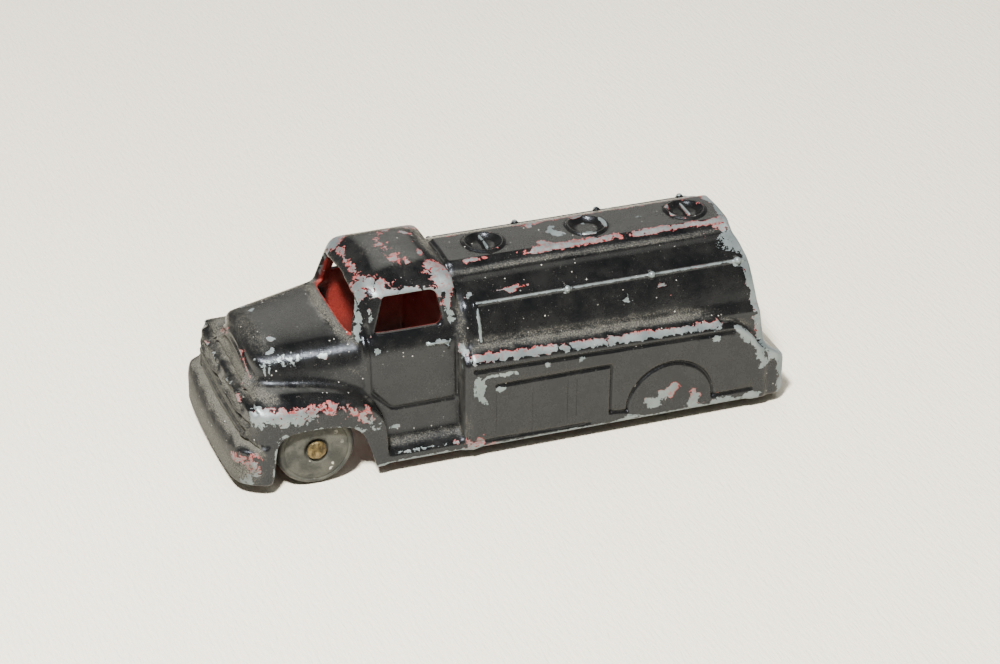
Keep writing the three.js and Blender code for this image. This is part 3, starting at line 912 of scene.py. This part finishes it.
# Bare patches from the bumper to the front of the tank, and along the lower edges
CAB_MARKS = [
    # Roof: front edge, near front corner, gutter, rear corner, middle
    ([(0, -25.6, 33.2), (8, -25, 32.7)], 0.7, 0.72),
    ([(7.5, -25.4, 32.3), (10.2, -22.5, 32.6)], 1.5, 0.95),
    ([(10.8, -23.8, 31.6), (11.6, -16, 31.4), (11.8, -11.5, 30.6)], 0.7, 1),
    ([(11.8, -11.6, 31), (12.9, -11.2, 27.5), (13.6, -11, 25)], 0.6, 0.95),
    ([(8.2, -12.2, 34), (10.8, -11.2, 31.6)], 1.6, 0.95),
    ([(1, -19, 35.2), (5.5, -18, 34.6)], 1, 0.62),
    # Pillar between windscreen and side window
    ([(8.9, -26, 31.2), (11.6, -27.2, 24.4)], 0.7, 1.05),
    ([(11.4, -25.2, 31), (13.4, -25.4, 25)], 0.4, 1),
    # Door
    ([(14.3, -15.5, 22.4), (14.3, -11.8, 22.4)], 0.45, 0.95),
    ([(14, -23.6, 24.7), (14, -21.4, 24.8)], 0.3, 1.05),
    ([(14, -19.6, 24.8), (14, -19, 24.8)], 0.3, 1.1),
    ([(15.2, -22.4, 7.8), (15.3, -20.9, 7.6)], 0.28, 1.1),
    # Front wing above the arch, and the arch's rim
    ([(16.6, -47.4, 15.2), (17, -44.2, 14.9), (17.4, -41, 14.2), (17.2, -37.5, 14.4)], 1.3, 0.93),
    ([(17, -36, 14.8), (17.2, -31.5, 14.5), (17.6, -28.5, 13.2), (18, -26, 10.2)], 0.9, 0.8),
    ([(18.4, -44.4, 4), (18.4, -43.4, 11.3), (18.4, -34, 11.7), (18.4, -28, 9.8)], 0.35, 0.9),
    # Lower edges
    ([(18.4, -25.6, 2.3), (18.4, 44, 2.3)], 0.35, 0.85),
    ([(18.2, -22, 4.2), (18.2, -9, 4.2)], 0.35, 0.55),
    # Bumper
    ([(16.8, -49, 3), (17.6, -47.4, 5.4), (17.4, -47.4, 7.4)], 0.9, 0.85),
    ([(14.5, -50.8, 6.9), (17.2, -48.6, 6.9)], 0.7, 0.72),
    # Bonnet
    ([(9, -45, 17.6), (7.2, -45.4, 19.4), (4, -45.2, 20.8)], 0.5, 0.74),
    ([(11.2, -43.4, 19.5), (10.4, -43.2, 21)], 0.9, 0.72),
    ([(10, -42.6, 22), (11.6, -38, 21.8)], 1.3, 0.66),
    # Corner where the cab meets the tank
    ([(15.3, -9.3, 21), (16.4, -9, 18.4)], 0.7, 0.85),
    ([(18.2, -9.2, 3.2), (18.2, -7.4, 3.4)], 0.8, 0.8),
]

BARE_MARKS = CHIPS + SKIRT_MARKS + TANK_MARKS + CAB_MARKS

# Places where the primer shows widely round the bare metal
RED_MARKS = [
    ([(0, -25.4, 33.6), (10.5, -22.5, 32.4)], 3, 0.8),
    ([(2, -16, 35), (10, -12, 33)], 4, 0.9),
    ([(14, -25.5, 24.6), (14, -12, 24.6)], 0.8, 0.9),
    ([(17, -45, 16), (17, -36, 15.6), (17.6, -27, 13)], 1.4, 0.9),
    ([(16, -50, 6.9), (17.8, -47, 6.9)], 2, 0.9),
    ([(4, -51.4, 6.9), (14, -51, 6.9)], 0.8, 0.75),
    ([(9, -45, 18), (4, -45.2, 20.8)], 1.6, 0.9),
    ([(10, -47.8, 14.7)], 1.4, 0.9),
    ([(12.6, -31.5, 22.4)], 1.2, 0.9),
    ([(5, -6, 32), (5, 44, 32)], 1.6, 0.95),
    ([(0, 36, 32.5), (4, 40, 32.5)], 3, 0.9),
    ([(9, -5.5, 29.8), (11, 3, 29)], 1.5, 1),
    ([(14.4, 30, 25.4), (14.3, 36, 26)], 2, 0.6),
    ([(17.4, -8, 20.4), (17, 44, 18.8)], 0.9, 0.95),
    ([(18.5, 24.6, 10.2), (18.5, 34, 6.4)], 2.4, 1),
    ([(18.2, -9.2, 3.2), (18.2, -6, 3.6)], 1.6, 1),
    ([(15.2, 46.2, 21.6), (16.6, 47, 16)], 1.4, 0.7),
    ([(16, -22.5, 7.6), (16, -20.8, 7.4)], 0.5, 1),
]

# Creases and shelves that hold dust
DUST_MARKS = [
    # Nose: shelf over the bumper, ovals, hatched band
    ([(0, -49.6, 9), (14, -48.8, 9), (17.2, -46.4, 9)], 1.1, 1.4),
    ([(0, -51.4, 4.8), (12, -50.8, 4.8), (16.4, -48.8, 4.8)], 2.4, 1.15),
    ([(0, -48.8, 12), (14.6, -48, 12)], 1.2, 0.95),
    ([(2.5, -48.2, 14.7), (12, -47.9, 14.7)], 1.1, 1.15),
    ([(0, -47, 18), (12, -46.2, 17.8), (15, -43.6, 17.2)], 1.5, 1.15),
    # Roof, then the bonnet's front, its side, under the windscreen and along the wing
    ([(0, -21, 35), (5, -17, 34.8)], 3.2, 0.62),
    ([(0, -43.6, 23.2), (7, -42.6, 22.6)], 2.2, 0.72),
    ([(14.2, -39, 20), (14.8, -28, 19.4)], 1.3, 0.75),
    ([(0, -30.8, 25.6), (8, -29.6, 25), (11.6, -27.8, 23.6)], 1.2, 0.85),
    ([(12.8, -45, 18.4), (13, -42, 17.2), (14, -36, 16.2), (15.2, -27, 13.4)], 0.9, 0.7),
    # Between the cab and the tank
    ([(0, -9.3, 33.6), (9.6, -9.5, 31.4), (13.4, -9.3, 26), (15, -9.2, 21)], 0.7, 0.9),
    ([(15.4, -9.2, 20), (16.8, -9.3, 10), (18, -9.2, 4)], 0.9, 0.8),
    # Running board
    ([(16.4, -23, 5.2), (16.4, -10, 5.2)], 0.9, 0.75),
    # Tank: above the belt, round the tail and under the walkway
    ([(16.3, -8, 21.1), (16.2, 30, 20.2), (15.6, 45, 16.8)], 0.8, 0.9),
    ([(15.5, -8, 22.2), (15.4, 30, 21.4), (14.8, 45, 18)], 0.6, 0.7),
    ([(6.2, -8, 30.8), (6.2, 44, 30.8)], 0.5, 0.78),
]


# ---- Materials ----

class Graph:
    """One new material, with short calls that add its shader nodes and return their sockets."""

    def __init__(self, name):
        self.material = bpy.data.materials.new(name)
        self.material.use_nodes = True
        self.tree = self.material.node_tree
        self.tree.nodes.clear()
        self.surface = self.node("ShaderNodeBsdfPrincipled")
        self.node("ShaderNodeOutputMaterial", self.surface.outputs[0])
        place = self.node("ShaderNodeTexCoord")
        scaled = self.node("ShaderNodeVectorMath", place.outputs["Object"], operation="SCALE")
        scaled.inputs["Scale"].default_value = 1 / MM
        self.place = scaled.outputs[0]
        self.normal = place.outputs["Normal"]

    def node(self, kind, *inputs, **settings):
        """A new node, with its settings and the values of its first inputs."""
        made = self.tree.nodes.new(kind)
        for name, value in settings.items():
            setattr(made, name, value)
        for socket, value in zip(made.inputs, inputs):
            self.put(socket, value)
        return made

    def put(self, socket, value):
        """Links a socket's value in, or sets it when it is plain."""
        if isinstance(value, bpy.types.NodeSocket):
            self.tree.links.new(value, socket)
        elif isinstance(value, tuple) and len(value) == 3:
            socket.default_value = (*value, 1)
        else:
            socket.default_value = value

    def math(self, operation, a, b):
        """The result of a named operation on two values."""
        return self.node("ShaderNodeMath", a, b, operation=operation).outputs[0]

    def total(self, *terms):
        """The sum of (value, factor) terms."""
        result = 0.0
        for value, factor in terms:
            made = self.node("ShaderNodeMath", value, factor, result, operation="MULTIPLY_ADD")
            result = made.outputs[0]
        return result

    def between(self, value, low, high, start=0.0, stop=1.0, kind="SMOOTHSTEP"):
        """Goes from start to stop while a value goes from low to high."""
        made = self.node("ShaderNodeMapRange", value, low, high, start, stop, interpolation_type=kind)
        return made.outputs[0]

    def mix(self, share, a, b):
        """Colour a, with this share of colour b."""
        made = self.node("ShaderNodeMix", data_type="RGBA")
        self.put(made.inputs[0], share)
        self.put(made.inputs[6], a)
        self.put(made.inputs[7], b)
        return made.outputs[2]

    def noise(self, scale, detail=4.0, roughness=0.55, distortion=0.0, stretch=None):
        """Noise with this many features per millimetre, from about -1 to 1."""
        where = self.place
        if stretch:
            stretched = self.node("ShaderNodeMapping", where)
            stretched.inputs["Scale"].default_value = stretch
            where = stretched.outputs[0]
        made = self.node("ShaderNodeTexNoise", where)
        numbers = {"Scale": scale, "Detail": detail, "Roughness": roughness, "Distortion": distortion}
        for name, number in numbers.items():
            made.inputs[name].default_value = number
        return self.between(made.outputs["Fac"], 0.25, 0.75, -1.0, 1.0, "LINEAR")

    def specks(self, scale, size):
        """Small round dots, this many places per millimetre and this large a share of each place."""
        made = self.node("ShaderNodeTexVoronoi", self.place)
        made.inputs["Scale"].default_value = scale
        chosen = self.node("ShaderNodeSeparateColor", made.outputs["Color"])
        near = self.between(made.outputs["Distance"], size, size * 0.6)
        some = self.between(chosen.outputs[0], 0.86, 0.88)
        return self.math("MULTIPLY", near, some)

    def value(self, name):
        """A value kept on the mesh."""
        return self.node("ShaderNodeAttribute", attribute_name=name).outputs["Fac"]

    def upward(self, vector):
        """The Z part of a vector."""
        return self.node("ShaderNodeSeparateXYZ", vector).outputs["Z"]

    def finished(self, colour, roughness, height, depth):
        """The material, with its colour, roughness and relief, whose depth is in millimetres."""
        made = self.node("ShaderNodeBump")
        made.inputs["Distance"].default_value = depth * MM
        self.put(made.inputs["Height"], height)
        self.put(self.surface.inputs["Normal"], made.outputs[0])
        self.put(self.surface.inputs["Base Color"], colour)
        self.put(self.surface.inputs["Roughness"], roughness)
        return self.material


def enamel():
    """Black enamel over red primer, chipped to bare zinc, dusty in the creases, red inside, with painted
    shade in the creases and low inside and a painted floor reflection on upright faces.
    """
    g = Graph("worn_enamel")
    flakes = g.noise(1.0, 2, 0.6, 0.8)
    grain = g.noise(5, 4, 0.65)
    film = g.noise(0.22, 5, 0.65)
    inside = g.value("inside")
    bare, primer = chip_masks(g, flakes, grain)
    dust = dust_mask(g, film, grain)
    # Dust film on level faces, and a painted reflection of the floor as grey sheen on upright faces
    dust_and_sheen = dust_and_sheen_mask(g)

    red = g.mix(g.between(flakes, -1, 1), (0.17, 0.012, 0.012), (0.28, 0.075, 0.07))
    dirt = g.mix(g.between(grain, -1, 1), (0.02, 0.02, 0.017), (0.125, 0.12, 0.1))
    colour = g.mix(primer, black_paint_sheen_and_shade(g, film, grain, dust_and_sheen), red)
    colour = g.mix(bare, colour, bare_zinc(g, flakes, film, grain))
    # Red paint inside, with painted shade lower down
    colour = g.mix(inside, colour, red_lining_and_shade(g, grain))
    colour = sprinkled(g, g.mix(dust, colour, dirt), film)

    g.surface.inputs["Specular IOR Level"].default_value = 0.2
    g.surface.inputs["Specular Tint"].default_value = (0.78, 0.85, 1.0, 1)
    g.put(g.surface.inputs["Metallic"], g.math("MULTIPLY", bare, 0.55))
    gloss = g.between(g.total((film, 0.6), (grain, 0.4)), -1, 1, 0.16, 0.36)
    matt = g.total((dust, 1), (g.value("dusty"), 0.6), (dust_and_sheen, 0.4), (bare, 0.35), (inside, 0.5))
    roughness = g.math("ADD", gloss, g.between(matt, 0, 1, 0, 0.5))
    relief = g.total((bare, -0.5), (primer, -0.4), (film, 1), (grain, 0.15))
    return g.finished(colour, roughness, relief, 0.04)


def chip_masks(g, flakes, grain):
    """Where the zinc is bare, and where the primer shows there or round it."""
    patches = g.noise(0.33, 2, 0.6, 0.3)
    ragged = g.total((patches, 0.28), (flakes, 0.55), (grain, 0.12))
    wear = g.total((g.value("worn"), 1), (g.value("edge"), 0.22), (g.value("ridge"), 0.1), (ragged, 0.8))
    fringe = g.total((wear, 1), (g.value("pink"), 0.17), (patches, 0.12))
    return g.between(wear, 0.72, 0.74), g.between(fringe, 0.77, 0.79)


def dust_mask(g, film, grain):
    crevice = g.total((g.value("hollow"), 0.25), (g.value("dusty"), 0.8), (film, 0.1), (grain, 0.45))
    return g.between(crevice, 0.42, 1.2, 0.0, 0.85)


def dust_and_sheen_mask(g):
    """The thin grey dust film on level faces and, less so, a grey sheen on upright ones that is a
    painted reflection of the pale floor.
    """
    facing = g.upward(g.normal)
    level = g.between(facing, 0.96, 0.992, 0.0, 0.34)
    # Painted reflection: upright faces turn grey as if they mirrored the pale floor
    return g.math("ADD", level, g.between(facing, 0.32, 0.12, 0.0, 0.2))


def black_paint_sheen_and_shade(g, film, grain, dust_and_sheen):
    # Grey of the dust film and of the painted floor reflection
    dust_and_sheen_grey = g.mix(g.between(grain, -1, 1), (0.045, 0.046, 0.045), (0.085, 0.085, 0.081))
    black = g.mix(g.between(film, -0.8, 0.9), (0.0025, 0.0027, 0.003), (0.007, 0.007, 0.0068))
    # Painted shade: creases are darkened to near black
    painted_crease_shade = g.between(g.value("crease"), 0.3, 0.8, 0.0, 0.85)
    return g.mix(painted_crease_shade, g.mix(dust_and_sheen, black, dust_and_sheen_grey), (0.004, 0.004, 0.004))


def bare_zinc(g, flakes, film, grain):
    """Grey zinc, with a blush of primer left on it in places."""
    zinc = g.mix(g.between(film, -1, 1), (0.11, 0.135, 0.14), (0.19, 0.22, 0.225))
    zinc = g.mix(g.between(grain, 0.2, 1.0, 0.0, 0.4), zinc, (0.15, 0.15, 0.148))
    blush = g.total((g.value("pink"), 0.8), (flakes, 0.8), (grain, 0.4))
    return g.mix(g.between(blush, 0.75, 1.3, 0.0, 0.7), zinc, (0.22, 0.07, 0.065))


def red_lining_and_shade(g, grain):
    """Red paint on the inside, with painted shade that darkens it lower down."""
    lining = g.mix(g.between(grain, -0.9, 0.9), (0.13, 0.011, 0.008), (0.26, 0.034, 0.026))
    # Painted shade: the lining fades to almost black towards the bottom
    return g.mix(g.between(g.upward(g.place), 8, 17), (0.025, 0.008, 0.006), lining)


def sprinkled(g, colour, film):
    """A colour under small pale dots and finer powder."""
    dots = g.math("MULTIPLY", g.specks(1.1, 0.16), g.between(film, -0.3, 0.4))
    colour = g.mix(dots, colour, (0.5, 0.49, 0.45))
    powder = g.math("MULTIPLY", g.specks(3.2, 0.22), g.between(film, -0.5, 0.5, 0.1, 0.6))
    return g.mix(powder, colour, (0.14, 0.14, 0.125))


def rubber():
    """Aged greenish-grey rubber with dusty patches and a few pale flakes."""
    g = Graph("aged_rubber")
    patches = g.noise(0.35, 4, 0.6, 0.3)
    grain = g.noise(5, 4, 0.65)
    colour = g.mix(g.between(patches, -0.5, 0.6), (0.008, 0.0095, 0.0075), (0.05, 0.05, 0.04))
    colour = g.mix(g.between(grain, 0.1, 1, 0, 0.6), colour, (0.035, 0.035, 0.03))
    flakes = g.math("MULTIPLY", g.specks(0.5, 0.24), g.between(patches, 0, 0.3))
    colour = g.mix(flakes, colour, (0.6, 0.58, 0.5))
    roughness = g.between(patches, -1, 1, 0.55, 0.85)
    return g.finished(colour, roughness, g.total((grain, 0.6), (patches, 0.6)), 0.08)


def brass():
    """Dull brass, darker and greener in patches."""
    g = Graph("dull_brass")
    patches = g.noise(1.1, 4, 0.6, 0.4)
    grain = g.noise(7, 4, 0.65)
    colour = g.mix(g.between(patches, -0.6, 0.8), (0.035, 0.027, 0.012), (0.19, 0.14, 0.062))
    colour = g.mix(g.between(grain, 0.3, 1, 0, 0.5), colour, (0.34, 0.2, 0.14))
    g.surface.inputs["Metallic"].default_value = 0.85
    roughness = g.between(g.total((patches, 0.6), (grain, 0.4)), -1, 1, 0.5, 0.28)
    return g.finished(colour, roughness, g.total((grain, 0.5), (patches, 0.8)), 0.04)


def paper():
    """Pale cream paper with faint fibres and shallow ripples."""
    g = Graph("cream_paper")
    broad = g.noise(0.006, 3, 0.5)
    fibres = g.noise(0.35, 5, 0.6, 0.3, stretch=(1, 4, 1))
    colour = g.mix(g.between(broad, -1, 1), (0.67, 0.62, 0.51), (0.71, 0.665, 0.56))
    colour = g.mix(g.between(fibres, -0.2, 1, 0, 0.2), colour, (0.6, 0.575, 0.5))
    return g.finished(colour, 0.9, g.total((fibres, 0.5), (broad, 1)), 0.15)


# ---- Wheels and axles ----

def turned(name, profile, segments=96):
    """A body of revolution about the X axis, from points (radius, along) of its profile."""
    angles = np.linspace(0, 2 * math.pi, segments, endpoint=False)
    points = [
        (along * MM, radius * math.cos(angle) * MM, radius * math.sin(angle) * MM)
        for radius, along in profile
        for angle in angles
    ]
    count = len(profile)
    faces = []
    for row in range(count):
        below = row * segments
        above = (row + 1) % count * segments
        for side in range(segments):
            ahead = (side + 1) % segments
            faces.append((below + side, below + ahead, above + ahead, above + side))
    mesh = bpy.data.meshes.new(name)
    mesh.from_pydata(points, [], faces)
    work = bmesh.new()
    work.from_mesh(mesh)
    bmesh.ops.remove_doubles(work, verts=work.verts, dist=0.001 * MM)
    bmesh.ops.recalc_face_normals(work, faces=work.faces)
    work.to_mesh(mesh)
    work.free()
    mesh.shade_smooth()
    mesh.set_sharp_from_angle(angle=math.radians(40))
    return added(name, mesh)


def build_wheel(end, side, material):
    """A one-piece rubber wheel: a round tread, a fine rim line and a recess for the axle's head."""
    bore = ROD_RADIUS + RUNNING_GAP
    recess = HEAD_RADIUS + 0.3
    profile = outline([
        (bore, -WHEEL_WIDTH), (2.6, -WHEEL_WIDTH), (WHEEL_RADIUS - 0.55, -WHEEL_WIDTH + 0.2, 0.7),
        (WHEEL_RADIUS, -WHEEL_WIDTH + 1.2, 1.2), (WHEEL_RADIUS, -1.2, 1.2),
        (WHEEL_RADIUS - 0.55, -0.28, 0.5), (WHEEL_RADIUS - 1.05, -0.3, 0.15),
        (WHEEL_RADIUS - 1.2, -0.42, 0.1), (WHEEL_RADIUS - 1.4, -0.26, 0.15),
        (recess + 1.6, -0.03, 1.5), (recess + 0.4, 0, 0.3), (recess, -0.3, 0.3),
        (recess, -RECESS_DEPTH, 0.15), (bore, -RECESS_DEPTH),
    ])
    name = f"{end}_{side}_wheel"
    axle_y, track = AXLE_PLACES[end]
    piece = turned(f"{end}_{side}_tyre", profile)
    left = side == "left"
    piece.location = Vector((track if left else -track, axle_y, WHEEL_RADIUS)) * MM
    piece.rotation_euler.z = 0 if left else math.pi
    piece.data.materials.append(material)
    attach(piece, name)
    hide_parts(name)


def build_axle(end, material):
    """A rod with a domed head formed on each end."""
    axle_y, track = AXLE_PLACES[end]
    tip = track + HEAD_REACH
    under = tip - HEAD_HEIGHT
    dome = arc((0, tip - DOME_HEIGHT), (HEAD_RADIUS, DOME_HEIGHT), 90, 0, 12)
    half = [*dome, (HEAD_RADIUS - 0.05, under), (ROD_RADIUS, under)]
    other = [(radius, -along) for radius, along in reversed(half)]
    name = f"{end}_axle"
    piece = turned(f"{end}_axle_rod", half + other, 48)
    piece.location = Vector((0, axle_y, WHEEL_RADIUS)) * MM
    piece.data.materials.append(material)
    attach(piece, name)
    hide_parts(name)


def build_running_gear():
    wheel_material = rubber()
    axle_material = brass()
    for end in AXLE_PLACES:
        build_axle(end, axle_material)
        for side in ("left", "right"):
            build_wheel(end, side, wheel_material)


aim_camera()
studio()
floor()
build_casting()
build_running_gear()
